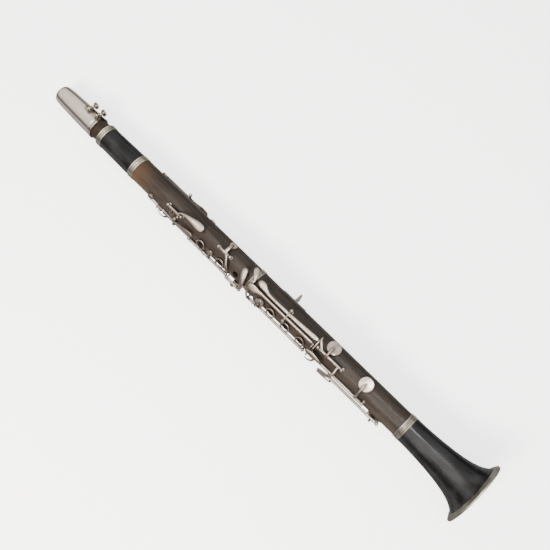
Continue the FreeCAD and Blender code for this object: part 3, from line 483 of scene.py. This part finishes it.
# key: what it is made of. Places are (along, angle, radius) in mm and degrees; widths and heights are half sizes.
UPPER_KEYS = {
    "register_key": [
        ("barrel", 463, 180, 19.6, 3.6), ("cup", 506, 180, 18.75, 4.2),
        ("forged", [(508, 180, 20.2), (494, 180, 20.1), (463, 180, 20.0), (452, 180, 19.9), (442, 180, 20.1),
                    (431.5, 180, 20.4)], [1.1, 1.6, 1.9, 2.6, 4.6, 3.4], [0.5, 0.8, 0.95, 0.7, 0.6, 0.5], 0.5)],
    "a_key": [
        ("barrel", 449, 6, 18.7, 2.6), ("cup", 492, 6, 17.65, 4.2),
        ("forged", [(494, 6, 19.0), (480, 6, 18.9), (449, 6, 18.9), (440, 3, 19.3), (428, -3, 19.8),
                    (419, -7, 19.7)], [0.9, 1.15, 1.3, 2.0, 3.5, 2.6], [0.5, 0.7, 0.9, 0.7, 0.65, 0.5], 0.4)],
    "a_flat_key": [
        ("tube", 446, 463, -33, 19.8), ("cup", 457, -17, 17.65, 4.2),
        ("forged", [(457, -33, 21.0), (457, -25, 20.4), (457, -17, 19.2)], [1.6, 1.3, 0.9], [0.8, 0.7, 0.5]),
        ("forged", [(449.5, -33, 20.2), (446.5, -41, 20.6), (441, -47, 20.8), (431, -50.5, 20.8),
                    (419.5, -52.5, 20.6), (411.5, -53.5, 20.3)], [1.3, 1.3, 1.7, 3.2, 4.7, 3.4],
         [0.9, 0.8, 0.7, 0.65, 0.6, 0.45], 0.8, 60)],
    "upper_ring_key": [
        ("tube", 364, 421, 24, 18.8), ("collar", 396, 400, 24, 18.8, 2.2), ("cup", 390, -3, 18.0, 4.2),
        ("forged", [(390, 24, 20.0), (390, 12, 20.6), (390, -3, 19.4)], [1.5, 1.2, 0.8], [0.7, 0.65, 0.45]),
        ("ring", 374), ("ring", 406),
        ("forged", [(374, 25, 19.8), (374, 20.5, 18.0)], [2.2, 1.5], [0.8, 0.6]),
        ("forged", [(406, 25, 19.8), (406, 20.5, 18.0)], [2.2, 1.5], [0.8, 0.6])],
    "cross_key": [
        ("tube", 369.6, 383.2, -52, 20), ("cup", 375, -93, 18.75, 4.6), ("collar", 371.5, 378.5, -52, 20, 2.35),
        ("forged", [(375, -50, 21.4), (375, -66, 21.9), (375, -80, 21.7), (375, -93, 20.2)],
         [2.4, 1.9, 1.5, 0.9], [0.8, 0.75, 0.65, 0.5]),
        ("forged", [(373, -51, 21.0), (369.5, -43, 21.3), (366.5, -31, 21.1), (363.6, -17, 20.6),
                    (360, -1, 20.0)], [1.7, 1.4, 1.4, 2.0, 2.0], [0.8, 0.75, 0.7, 0.65, 0.5], 0.3, 50)],
    "e_flat_key": [
        ("tube", 338.4, 354, 10, 22.4), ("cup", 347, 52, 18.75, 4.6),
        ("forged", [(347, 10, 23.6), (347, 26, 23.7), (347, 42, 22.2), (347, 52, 20.3)], [2.0, 1.7, 1.3, 0.9],
         [0.8, 0.75, 0.65, 0.5]),
        ("forged", [(340, 9, 23.0), (336.4, -3, 22.7), (336.2, -14, 22.6), (338.8, -32, 22.7), (342, -50, 22.8),
                    (345, -63, 22.4)], [1.5, 1.7, 2.2, 3.2, 3.8, 2.8], [0.8, 0.8, 0.75, 0.7, 0.65, 0.5], 0.85, 60)],
    "side_trill_key": [
        ("tube", 402, 470, 64, 19.4), ("cup", 478, 40, 18.75, 4.6),
        ("forged", [(466, 64, 20.6), (468.5, 51, 21.9), (473, 45, 21.8), (478, 40, 20.3)], [1.5, 1.5, 1.3, 0.9],
         [0.8, 0.75, 0.7, 0.5]),
        ("forged", [(408.5, 64, 20.6), (408, 78, 21.8), (405, 90, 22.3), (398, 95, 22.4), (384, 95, 22.7),
                    (373, 95, 22.9), (366.8, 95, 22.7)], [1.4, 1.4, 1.7, 2.4, 3.6, 4.1, 3.0],
         [0.8, 0.75, 0.7, 0.7, 0.6, 0.55, 0.45], 0.3, 60)],
    "side_b_flat_key": [
        ("tube", 402, 448, 113, 19.4), ("cup", 455, 86, 18.75, 4.6),
        ("forged", [(444, 113, 20.6), (446, 101, 21.4), (450.5, 92, 21.4), (455, 86, 20.2)], [1.5, 1.5, 1.3, 0.9],
         [0.8, 0.75, 0.7, 0.5]),
        ("forged", [(408.5, 113, 20.6), (407.5, 119, 21.4), (404, 123.5, 22.1), (397, 124, 22.4), (384, 124, 22.7),
                    (375, 124, 22.9), (368.8, 124, 22.7)], [1.4, 1.4, 1.7, 2.4, 3.6, 4.1, 3.0],
         [0.8, 0.75, 0.7, 0.7, 0.6, 0.55, 0.45], 0.3, 60)],
}
LOWER_KEYS = {
    "c_sharp_key": [
        ("tube", 314.4, 322.4, 42, 19.6), ("cup", 318, 74, 18.75, 4.6),
        ("forged", [(318, 42, 20.8), (318, 58, 21.6), (318, 74, 20.3)], [1.8, 1.4, 0.9], [0.8, 0.7, 0.5]),
        ("forged", [(321, 42, 20.4), (323.5, 26, 20.0), (326.5, 12, 19.6), (327.7, -6, 19.5), (328, -30, 19.3),
                    (327.4, -50, 19.6), (329.5, -64, 20.6), (333.5, -80, 21.1), (336.8, -91.5, 21.2)],
         [1.3, 1.3, 1.3, 1.3, 1.3, 1.7, 2.9, 3.6, 2.6], [0.8, 0.8, 0.8, 0.8, 0.8, 0.75, 0.7, 0.65, 0.5], 0.6, 90)],
    "lower_ring_key": [
        ("tube", 239.4, 311, 24, 18.8), ("cup", 308, 0, 18.0, 6.0),
        ("forged", [(308, 24, 20.2), (308, 13, 21.0), (308, 0, 19.6)], [1.9, 1.5, 1.0], [0.8, 0.7, 0.5]),
        *[("ring", along) for along in (245, 268, 291)],
        *[("forged", [(along, 25, 19.8), (along, 20.5, 18.0)], [2.2, 1.5], [0.8, 0.6])
          for along in (245, 268, 291)]],
    "f_sharp_key": [
        ("tube", 191.4, 221.6, -42, 20), ("cup", 211, -78, 18.75, 8.35),
        ("forged", [(211, -36, 21.2), (211, -46, 22.2), (211, -62, 22.7), (211, -81, 21.5)], [1.5, 1.4, 1.3, 0.95],
         [0.8, 1.1, 1.25, 0.9], 0.0, 40, 24, 0.9),
        ("forged", [(218, -42, 20.8), (222, -52, 21.8), (225.5, -61, 22.0), (227.7, -68, 21.9)],
         [1.6, 1.3, 1.2, 1.1], [0.8, 0.7, 0.7, 0.6]),
        ("forged", [(194, -42, 20.8), (193.2, -30, 22.8), (193, -16, 24.6), (196, -5, 25.3), (203, 1, 25.4),
                    (210, 4, 25.1)], [1.4, 1.4, 1.7, 2.8, 3.7, 2.6], [0.9, 0.8, 0.75, 0.7, 0.65, 0.5], 0.4, 60)],
    "e_key": [
        ("tube", 151.4, 224, -2, 19.4), ("cup", 159, -64, 20.3, 8.35),
        ("forged", [(159, 2, 20.6), (159, -18, 22.9), (159, -36, 24.1), (159, -50, 24.2), (159, -67, 23.0)],
         [1.5, 1.4, 1.3, 1.3, 0.95], [0.9, 0.9, 1.1, 1.25, 0.9], 0.0, 50, 24, 0.9),
        ("forged", [(219.5, -2, 20.2), (221, 12, 21.6), (225.5, 25, 22.4), (230.6, 33, 22.3)],
         [1.5, 1.3, 1.2, 1.1], [0.9, 0.8, 0.7, 0.6]),
        ("forged", [(211, -2, 20.2), (211.5, -9, 22.2), (215, -14, 23.8), (224, -15.5, 24.6), (233.5, -14, 24.5)],
         [1.4, 1.5, 2.3, 3.4, 2.2], [0.9, 0.8, 0.7, 0.65, 0.5], 0.4, 60)],
    "f_key": [
        ("tube", 125.4, 195, 26, 19.8), ("cup", 131, 76, 20.3, 8.35),
        ("forged", [(131, 24, 21.0), (131, 42, 23.4), (131, 60, 24.0), (131, 76, 22.2)], [1.5, 1.4, 1.2, 0.9],
         [0.9, 0.8, 0.7, 0.5]),
        ("forged", [(191, 26, 20.6), (191.2, 36, 22.4), (195, 43.5, 23.3), (203, 46, 23.9), (211.5, 46, 24.0)],
         [1.4, 1.5, 2.4, 3.8, 2.6], [0.9, 0.8, 0.7, 0.65, 0.5], 0.4, 60)],
}
LEVERS = {
    "f_sharp_lever": [
        ("barrel", *LEVER_HINGE, 1.9, -2.6),
        ("forged", [(323, -62, 22.4), (316, -61, 22.5), (309, -56, 22.0), (301, -52.5, 21.5), (273, -52.8, 21.3),
                    (248, -55, 21.2), (228.2, -58, 21.0)], [2.7, 3.9, 2.3, 1.6, 1.9, 2.4, 2.8],
         [0.55, 0.65, 0.75, 0.8, 0.8, 0.75, 0.7], 0.45, 90, 24, 0.6),
        ("forged", [(227.7, -77, 20.2), (227.7, -60, 20.0), (227.7, -44, 19.9), (227.7, -28, 19.9),
                    (227.7, -12, 20.0)], [0.95] * 5, [0.75] * 5, 0.0, 50)],
    "e_lever": [
        ("barrel", *LEVER_HINGE, 1.9, 2.6),
        ("forged", [(330, -33, 22.8), (322, -34, 23.0), (315, -37, 22.5), (306, -38.5, 21.5), (273, -38.5, 21.3),
                    (248, -39, 21.2), (231.4, -39.5, 21.0)], [3.0, 4.3, 2.5, 1.5, 1.5, 1.5, 1.5],
         [0.55, 0.65, 0.75, 0.8, 0.8, 0.75, 0.7], 0.45, 90, 24, 0.6),
        ("forged", [(230.6, -41, 20.2), (230.6, -22, 19.9), (230.6, -2, 19.9), (230.6, 16, 19.9),
                    (230.6, 34, 20.2)], [0.95] * 5, [0.75] * 5, 0.0, 50)],
}
# hinges whose tubes lie along the instrument: start, end, angle, distance
UPPER_HINGES = [(446, 463, -33, 19.8), (364, 421, 24, 18.8), (369.6, 383.2, -52, 20), (338.4, 354, 10, 22.4),
                (402, 470, 64, 19.4), (402, 448, 113, 19.4)]
LOWER_HINGES = [(314.4, 322.4, 42, 19.6), (239.4, 311, 24, 18.8), (191.4, 221.6, -42, 20),
                (151.4, 224, -2, 19.4), (125.4, 195, 26, 19.8)]
# see-saw hinges: along, angle, distance, half length of the barrel
UPPER_SAWS = [(463, 180, 19.6, 3.6), (449, 6, 18.7, 2.6)]
LOWER_SAWS = [(*LEVER_HINGE, 4.8)]
POST_STEP = 2.5           # from the end of a tube to its post's middle
ROD_STEP = 4.4            # how far a rod stands out beyond its tube
SAW_ROD_STEP = 4.3        # the same for a see-saw key's rod
# ring: start, end, inner and outer radius, body, beads
FERRULES = {
    "barrel_upper_ring": (586.6, 594.5, 13.5, 15.2, "head", 3),
    "barrel_lower_ring": (527.6, 535.8, 13.5, 15.9, "head", 3),
    "lower_joint_socket_ring": (327.0, 334.0, 13.9, 16.2, "instrument", 3),
    "lower_joint_end_ring": (99.2, 103.0, 13.9, 16.3, "instrument", 2),
    "bell_upper_ring": (95.1, 99.2, 13.9, 16.5, "instrument", 2)}


def key_pieces(table, material):
    """Build every key of a table as one piece each, on the body of the same name."""
    for name, parts in table.items():
        shells = [SHAPES[kind](*values) for kind, *values in parts]
        piece(name + "_forging", shells, material, name, [name])


def mechanism_piece(joint, hinges, saws, post_metal, rod_metal):
    """Posts and rods of one joint."""
    posts = []
    rods = []
    for start, end, angle, distance in hinges:
        posts += [ball_post(along, angle, distance) for along in (start - POST_STEP, end + POST_STEP)]
        rods.append(rod_line(start - ROD_STEP, end + ROD_STEP, angle, distance))
    for along, angle, distance, half in saws:
        for step in (-half - POST_STEP, half + POST_STEP):
            lean = math.degrees(math.atan2(step, distance))
            posts.append(ball_post(along, angle + lean, distance / math.cos(math.radians(lean))))
        length = 2 * (half + SAW_ROD_STEP)
        start = place(along, angle, distance) - sideways(angle) * length / 2 * MM
        rods.append(lathe(start, sideways(angle), [(0, POINT), (0.1, 0.8), (0.4, 0.98), (length - 0.4, 0.98),
                                                   (length - 0.1, 0.8), (length, POINT)], 24))
    piece(joint + "_ball_posts", posts, post_metal, "instrument", [joint + "_posts"])
    piece(joint + "_hinge_rods", rods, rod_metal, "instrument", [joint + "_rods"])


# ---- the head: mouthpiece cap, ligature screws ----------------------------------------------------
HEAD_TURN = 83.0          # degrees from the back of the instrument to the reed's side, as it is put on
CAP_RIM = 606.0           # along the bore, mm
# height above the rim, radius
CAP_PROFILE = [(0, 13.45), (0, 14.45), (0.2, 14.68), (0.7, 14.7), (1.0, 14.5), (1.2, 14.68), (1.9, 14.6),
               (2.2, 13.95), (2.9, 13.9), (3.2, 14.25), (4.2, 14.25), (4.5, 13.9), (5.0, 13.9), (5.4, 14.08),
               (13, 14.05), (30, 13.65), (54, 12.7), (62, 12.1), (66, 11.65), (68, 11.0), (69.2, 10.2),
               (69.8, 9.1), (70.0, 7.5), (70.0, POINT)]
CAP_INSIDE = [(13, 13.36), (27.5, 13.2), (54, 12.1), (66.4, 10.9), (67.6, 9.9), (68.9, 8.3), (68.9, POINT)]
SLOT_HALF = 5.7           # half width of the slot
SLOT_END = 28.0           # its end above the rim
SLOT_START = -3.0         # where the cutter begins, below the rim
SLOT_DEPTHS = (4.0, 20.0)     # from the bore axis: the cutter passes one wall only
SCREW_PLACES = (("upper", 626.0), ("lower", 612.0))     # along the bore
SCREW_LEVEL = 17.3        # the screws' axis, from the bore


def cap_shell():
    """Mouthpiece cap as one closed skin: from the middle of its top down the outside, round the rim and back up
    the inside."""
    profile = dense(CAP_PROFILE[::-1] + CAP_INSIDE, 1.5)
    return lathe(place(CAP_RIM, 0, 0), ALONG, profile, 160)


def dense(profile, step):
    """The same profile with rows no farther apart than step."""
    rows = np.array(profile, float)
    run = np.concatenate([[0], np.cumsum(np.hypot(*np.diff(rows, axis=0).T))])
    where = np.union1d(np.arange(0, run[-1], step), run)
    return np.stack([np.interp(where, run, rows[:, k]) for k in range(2)], -1)


def slot_cutter():
    """Round-ended prism that opens the cap's slot on the reed's side."""
    turn = np.linspace(0, math.pi, 25)
    arc = np.stack([SLOT_END - SLOT_HALF + SLOT_HALF * np.sin(turn), SLOT_HALF * np.cos(turn)], -1)
    outline = np.vstack([[(SLOT_START, SLOT_HALF)], arc, [(SLOT_START, -SLOT_HALF)]])
    angle = 180 + HEAD_TURN
    rings = [place(CAP_RIM, 0, 0) + (outline[:, :1] * ALONG + outline[:, 1:] * sideways(angle)
                                     + depth * outward(angle)) * MM for depth in SLOT_DEPTHS]
    return shell(np.stack(rings))


def open_slot(obj, cutter):
    """Cut a closed skin out of a piece and keep the result as its own mesh."""
    mesh = bpy.data.meshes.new("cutter")
    points, quads, fans = cutter
    mesh.from_pydata(points, [], quads.tolist() + fans.tolist())
    tool = bpy.data.objects.new("cutter", mesh)
    bpy.context.scene.collection.objects.link(tool)
    modifier = obj.modifiers.new("slot", "BOOLEAN")
    modifier.operation = "DIFFERENCE"
    modifier.solver = "EXACT"
    modifier.object = tool
    bpy.context.view_layer.update()
    result = bpy.data.meshes.new_from_object(obj.evaluated_get(bpy.context.evaluated_depsgraph_get()))
    obj.modifiers.clear()
    old = obj.data
    obj.data = result
    result.name = obj.name
    result.set_sharp_from_angle(angle=math.radians(35))
    bpy.data.meshes.remove(old)
    bpy.data.objects.remove(tool)
    bpy.data.meshes.remove(mesh)


def screw_head(along):
    """Ligature screw: stem, turned collar and a disc head."""
    angle = 180 + HEAD_TURN
    axis = sideways(angle)
    start = place(along, angle, SCREW_LEVEL)
    disc = [(-9.35, POINT), (-9.35, 3.3), (-9.2, 3.9), (-8.9, 4.35), (-8.4, 4.5), (-7.9, 4.35), (-7.55, 3.9),
            (-7.4, 3.2), (-7.3, 2.0), (-6.9, 1.75), (-6.5, 1.5), (-6.3, 1.35), (7.2, 1.35), (7.45, 1.1),
            (7.5, POINT)]
    return lathe(start, axis, disc, 72)


def cover(material, *nodes):
    """Give CAD nodes that stay in view a material."""
    for name in nodes:
        mesh = frame["nodes"][name].data
        mesh.materials.clear()
        mesh.materials.append(material)


# ---- stage: the camera's place and lights, measured across, up and towards the camera ------------------
VIEW_ANGLE = -54.0
VIEW_PLACE = (126.7, VIEW_ANGLE, 871.0)
VIEW_FORWARD = (0.2163, -0.0232, -0.9760)
VIEW_UP = (0.6774, -0.7164, 0.1672)
LENS = 51.0
LIGHTS_AIM = 330.0        # along the bore, mm: the lights hang round this point and turn to it
FLOOR_GLOW = 2.1          # light the paper gives back beyond what falls on it
# studio surroundings: height of a direction (-1 straight down, 1 straight up), strength
SKY_BANDS = ((-1.0, 0.4), (-0.6, 0.5), (-0.4, 0.9), (-0.2, 0.22), (0.14, 0.22), (0.32, 1.0), (1.0, 1.5))
# name, place (m), size (m), power (W), colour, seen in gloss
LIGHTS = (("key", (-0.85, -0.62, 1.5), 0.7, 100.0, "#fff8ef", False),
          ("glint", (-0.85, -0.62, 1.5), 0.18, 6.0, "#fff8ef", True),
          ("strip", (0.55, 0.62, 1.7), 0.2, 6.0, "#f6f8ff", True),
          ("overhead", (-0.3, 0.3, 2.4), 2.6, 42.0, "#fffdf8", True))


# ---- what a user can change ------------------------------------------------------------------------
def colour_property(name, description, shown):
    """Colour with its sRGB default."""
    return bpy.props.FloatVectorProperty(name=name, description=description, subtype="COLOR", size=3, min=0,
                                         max=1, default=linear(shown)[:3])


def length_property(name, description, mm):
    """Length with its default in mm."""
    return bpy.props.FloatProperty(name=name, description=description, default=mm * MM, min=0, unit="LENGTH")


class ClarinetFinish(bpy.types.PropertyGroup):
    """Colours of the clarinet."""
    wood_dark: colour_property("Wood, dark", "Grain of the oiled grenadilla", "#1a1513")
    wood_light: colour_property("Wood, light", "Dry streaks between the grain", "#312a24")
    wood_worn: colour_property("Wood, worn", "Worn wood at the top of the upper joint", "#3b2c1f")
    ebonite_dark: colour_property("Ebonite, dark", "Barrel and bell", "#0a0a0a")
    ebonite_light: colour_property("Ebonite, light", "Bloom on the barrel and bell", "#222223")
    silver_bright: colour_property("Nickel silver, bright", "Keys where they are handled", "#d3c2b7")
    silver_dull: colour_property("Nickel silver, dull", "Keys where they are tarnished", "#aa9886")
    floor: colour_property("Floor", "Pale floor under the clarinet", "#f6f5f4")


class ClarinetSizes(bpy.types.PropertyGroup):
    """Sizes of the refined keywork and of the stage."""
    tube_radius: length_property("Hinge tube radius", "Outside radius of a key's hinge tube", 1.8)
    ball_radius: length_property("Post ball radius", "Radius of the ball on a post", 2.2)
    rod_radius: length_property("Hinge rod radius", "Radius of the steel rod in a hinge tube", 0.98)
    bead_rise: length_property("Bead rise", "How far a ferrule's beads stand above its grooves", 0.6)
    floor_side: length_property("Floor side", "Length of one side of the floor", 16000.0)


class CLARINET_OT_wood(bpy.types.Operator):
    """Give the joints, barrel, bell and mouthpiece their wood and ebonite."""
    bl_idname = "clarinet.wood"
    bl_label = "Wood and ebonite"

    def execute(self, context):
        look = context.scene.clarinet_finish
        cover(grenadilla(), "upper_joint", "lower_joint")
        cover(ebonite("ebonite_black", rgba(look.ebonite_dark), rgba(look.ebonite_light), (0.15, 0.24)),
              "barrel", "bell")
        cover(ebonite("ebonite_brown", "#1c150d", "#33291a", (0.34, 0.5)), "mouthpiece")
        return {"FINISHED"}


class CLARINET_OT_soft_trim(bpy.types.Operator):
    """Give the corks, pads, reed and springs their materials."""
    bl_idname = "clarinet.soft_trim"
    bl_label = "Corks, pads, reed and springs"

    def execute(self, context):
        cover(cork(), *[name for name in frame["nodes"] if name.endswith("cork")])
        cover(pad_skin(), *[name for name in frame["nodes"] if name.endswith("_pad")])
        cover(cane(), "reed")
        cover(spring_steel("blued_spring_steel", "#20232b", "#3b3e47", 0.36), "upper_joint_springs",
              "lower_joint_springs")
        return {"FINISHED"}


class CLARINET_OT_fittings(bpy.types.Operator):
    """Give the thumb rest, bushing, ligature and bell rim their metals."""
    bl_idname = "clarinet.fittings"
    bl_label = "Thumb rest, ligature and bell rim"

    def execute(self, context):
        cover(metal("nickel_silver_fittings", "#cfc6b6", "#a39883", (0.24, 0.4)), "thumb_rest", "thumb_bushing")
        cover(spring_steel("screw_steel", "#8d8b86", "#b3b0aa", 0.3), "thumb_rest_screws")
        cover(metal("nickel_ligature", "#e4ddcf", "#b9ad98", (0.16, 0.32)), "ligature")
        cover(metal("silver_rim_tarnished", "#bab4a6", "#8f8a7d", (0.28, 0.46), 4.0, "#5f5a4f", 0.5),
              "bell_rim_ring")
        return {"FINISHED"}


class CLARINET_OT_ferrules(bpy.types.Operator):
    """Build the beaded ferrules of the barrel, joints and bell."""
    bl_idname = "clarinet.ferrules"
    bl_label = "Ferrules"

    def execute(self, context):
        silver = metal("silver_ferrule", "#ddd5c6", "#a89d8a", (0.18, 0.36), 3.0, "#6d6252", 0.35)
        for node, (start, end, inner, outer, body, beads) in FERRULES.items():
            piece(node + "_beads", [ferrule(start, end, inner, outer, beads)], silver, body, [node],
                  60)
        return {"FINISHED"}


class CLARINET_OT_keys(bpy.types.Operator):
    """Build the forged keys and levers."""
    bl_idname = "clarinet.keys"
    bl_label = "Keys and levers"

    def execute(self, context):
        look = context.scene.clarinet_finish
        silver = metal("nickel_silver_keys", rgba(look.silver_bright), rgba(look.silver_dull), (0.17, 0.34), 3.0,
                       "#7c6f5b", 0.3)
        for table in (UPPER_KEYS, LOWER_KEYS, LEVERS):
            key_pieces(table, silver)
        return {"FINISHED"}


class CLARINET_OT_mechanism(bpy.types.Operator):
    """Build the posts and hinge rods of both joints."""
    bl_idname = "clarinet.mechanism"
    bl_label = "Posts and hinge rods"

    def execute(self, context):
        post_metal = metal("nickel_silver_posts", "#d5ccbc", "#a09480", (0.2, 0.36), 2.0, "#6a5f4e", 0.45)
        rod_metal = spring_steel("hinge_rod_steel", "#8b877f", "#aaa69d", 0.28)
        mechanism_piece("upper_joint", UPPER_HINGES, UPPER_SAWS, post_metal, rod_metal)
        mechanism_piece("lower_joint", LOWER_HINGES, LOWER_SAWS, post_metal, rod_metal)
        return {"FINISHED"}


class CLARINET_OT_cap(bpy.types.Operator):
    """Build the mouthpiece cap and the ligature's screws."""
    bl_idname = "clarinet.cap"
    bl_label = "Mouthpiece cap and ligature screws"

    def execute(self, context):
        nickel = metal("nickel_plate_cap", "#fff0e4", "#efdccb", (0.1, 0.17), 9.0, "#8d7c62", 0.05)
        cap = piece("mouthpiece_cap_shell", [cap_shell()], nickel, "cap", ["mouthpiece_cap"], 35)
        open_slot(cap, slot_cutter())
        screw = metal("nickel_screw", "#d9d0c0", "#a49781", (0.2, 0.34))
        for level, along in SCREW_PLACES:
            piece(f"ligature_thumbscrew_{level}", [screw_head(along)], screw, f"screw_{level}",
                  [f"ligature_screw_{level}"], 35)
        return {"FINISHED"}


def lay_floor(context):
    """Pale paper floor. It is hidden from gloss, so the dark wood keeps its colour at its edges."""
    half = context.scene.clarinet_sizes.floor_side / 2
    mesh = bpy.data.meshes.new("floor")
    mesh.from_pydata([(-half, -half, 0), (half, -half, 0), (half, half, 0), (-half, half, 0)], [],
                     [(0, 1, 2, 3)])
    material = bpy.data.materials.new("paper_floor")
    material.use_nodes = True
    shader = material.node_tree.nodes["Principled BSDF"]
    shader.inputs["Base Color"].default_value = rgba(context.scene.clarinet_finish.floor)
    shader.inputs["Roughness"].default_value = 0.9
    shader.inputs["Emission Color"].default_value = linear("#ffffff")
    shader.inputs["Emission Strength"].default_value = FLOOR_GLOW
    mesh.materials.append(material)
    floor = bpy.data.objects.new("floor", mesh)
    context.scene.collection.objects.link(floor)
    floor.visible_glossy = False


def light_sky(context):
    """Studio surroundings in light and dark bands, which polished metal shows along its length."""
    world = bpy.data.worlds.new("studio")
    context.scene.world = world
    world.use_nodes = True
    tree = world.node_tree
    sky = tree.nodes["Background"]
    sky.inputs[0].default_value = linear("#f3f2f0")
    height = add(tree, "ShaderNodeSeparateXYZ",
                 Vector=add(tree, "ShaderNodeTexCoord").outputs["Generated"]).outputs[2]
    bands = add(tree, "ShaderNodeValToRGB", Fac=ranged(tree, height, -1, 1, 0, 1))
    stops = bands.color_ramp.elements
    while len(stops) < len(SKY_BANDS):
        stops.new(1.0)
    for stop, (rise, strength) in zip(stops, SKY_BANDS):
        stop.position = (rise + 1) / 2
        stop.color = (strength, strength, strength, 1)
    tree.links.new(bands.outputs["Color"], sky.inputs[1])


def view_axes():
    """The camera's unit directions across, up and forward."""
    basis = np.stack([ALONG, sideways(VIEW_ANGLE), outward(VIEW_ANGLE)])
    forward = np.array(VIEW_FORWARD) @ basis
    across = np.cross(forward, np.array(VIEW_UP) @ basis)
    across /= np.linalg.norm(across)
    return across, np.cross(across, forward), forward


def set_camera(context):
    """Camera above the instrument, turned so that it lies from corner to corner."""
    lens = bpy.data.cameras.new("camera")
    lens.lens = LENS
    lens.sensor_width = 36.0
    lens.clip_start = 0.01
    camera = bpy.data.objects.new("camera", lens)
    context.scene.collection.objects.link(camera)
    across, up, forward = view_axes()
    turn = Matrix(np.stack([across, up, -forward], -1).tolist())
    camera.matrix_world = Matrix.Translation(Vector(place(*VIEW_PLACE))) @ turn.to_4x4()
    context.scene.camera = camera


def hang_lights(context):
    """Round soft lights, all turned to the middle of the instrument."""
    across, up, forward = view_axes()
    middle = place(LIGHTS_AIM, VIEW_ANGLE, 0)
    for name, (right, rise, away), size, power, colour, in_gloss in LIGHTS:
        lamp = bpy.data.lights.new(name, "AREA")
        lamp.shape = "DISK"
        lamp.size = size
        lamp.energy = power
        lamp.color = linear(colour)[:3]
        obj = bpy.data.objects.new(name, lamp)
        context.scene.collection.objects.link(obj)
        obj.visible_glossy = in_gloss
        at = middle + right * across + rise * up - away * forward
        aim = Vector(at - middle).to_track_quat("Z", "Y").to_matrix()
        obj.matrix_world = Matrix.Translation(Vector(at)) @ aim.to_4x4()


class CLARINET_OT_stage(bpy.types.Operator):
    """Lay the pale floor, hang the soft lights and set the camera."""
    bl_idname = "clarinet.stage"
    bl_label = "Floor, lights and camera"

    def execute(self, context):
        lay_floor(context)
        light_sky(context)
        set_camera(context)
        hang_lights(context)
        return {"FINISHED"}


OPERATORS = (CLARINET_OT_wood, CLARINET_OT_soft_trim, CLARINET_OT_fittings, CLARINET_OT_ferrules,
             CLARINET_OT_keys, CLARINET_OT_mechanism, CLARINET_OT_cap, CLARINET_OT_stage)


class CLARINET_PT_panel(bpy.types.Panel):
    """Buttons for each group of pieces."""
    bl_idname = "CLARINET_PT_panel"
    bl_label = "Clarinet"
    bl_space_type = "VIEW_3D"
    bl_region_type = "UI"
    bl_category = "Clarinet"

    def draw(self, context):
        for group in (context.scene.clarinet_finish, context.scene.clarinet_sizes):
            box = self.layout.box()
            for name in group.__annotations__:
                box.prop(group, name)
        for operator in OPERATORS:
            self.layout.operator(operator.bl_idname)


CLASSES = (ClarinetFinish, ClarinetSizes, *OPERATORS, CLARINET_PT_panel)


def register():
    for item in CLASSES:
        bpy.utils.register_class(item)
    bpy.types.Scene.clarinet_finish = bpy.props.PointerProperty(type=ClarinetFinish)
    bpy.types.Scene.clarinet_sizes = bpy.props.PointerProperty(type=ClarinetSizes)


def unregister():
    del bpy.types.Scene.clarinet_sizes
    del bpy.types.Scene.clarinet_finish
    for item in reversed(CLASSES):
        bpy.utils.unregister_class(item)


def main():
    """Build every group through its operator."""
    register()
    for operator in OPERATORS:
        group, name = operator.bl_idname.split(".")
        getattr(getattr(bpy.ops, group), name)()


if __name__ == "__main__":
    main()
